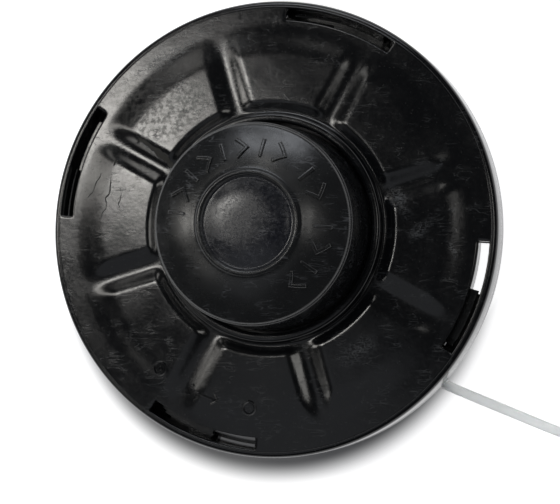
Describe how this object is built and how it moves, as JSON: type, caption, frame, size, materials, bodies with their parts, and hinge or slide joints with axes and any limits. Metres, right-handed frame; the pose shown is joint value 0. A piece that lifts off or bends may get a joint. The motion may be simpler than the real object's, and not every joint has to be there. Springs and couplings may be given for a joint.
{
  "type": "string trimmer head",
  "caption": "Round bump-feed string trimmer head with a bayonet cover, a bump knob, a two-chamber line spool and a free tail of trimmer line.",
  "frame": {"origin": "on the head's axis, at the back face that meets the gearbox and on which the part lies", "axes": "+Z along the axis towards the bump knob; +X and +Y are the picture's right and up when it is seen from the knob"},
  "size_m": [0.1718, 0.112, 0.0524],
  "materials": {
    "black_nylon": "glossy",
    "grey_nylon": "satin",
    "line_nylon": "glossy",
    "steel": "satin"
  },
  "bodies": {
    "housing": {"housing": "black_nylon", "arbor_insert": "steel", "line_eyelet_front": "steel", "line_eyelet_rear": "steel", "drive_cam": "grey_nylon", "spring_washer": "steel", "return_spring": "steel", "trimmer_line": "line_nylon"},
    "cover": {"cover": "black_nylon"},
    "knob": {"bump_knob": "black_nylon"},
    "spool": {"spool": "grey_nylon", "wound_line_lower": "line_nylon", "wound_line_upper": "line_nylon"}
  },
  "joints": [
    {"name": "cover_twist", "type": "hinge", "parent": "housing", "child": "cover", "pos_m": [0, 0, 0.025], "axis": [0, 0, 1], "range_deg": [0, 14]},
    {"name": "bump", "type": "slide", "parent": "housing", "child": "knob", "axis": [0, 0, -1], "range_m": [0, 0.0045], "stiffness_N_per_m": 1500, "springref_m": -0.006, "deforming": ["return_spring"]},
    {"name": "spool_step", "type": "hinge", "parent": "knob", "child": "spool", "pos_m": [0, 0, 0.02], "axis": [0, 0, 1], "range_deg": [0, 30]}
  ],
  "couplings": [
    {"joint": "spool_step", "follows": "bump", "rad_per_m": 116.35}
  ]
}
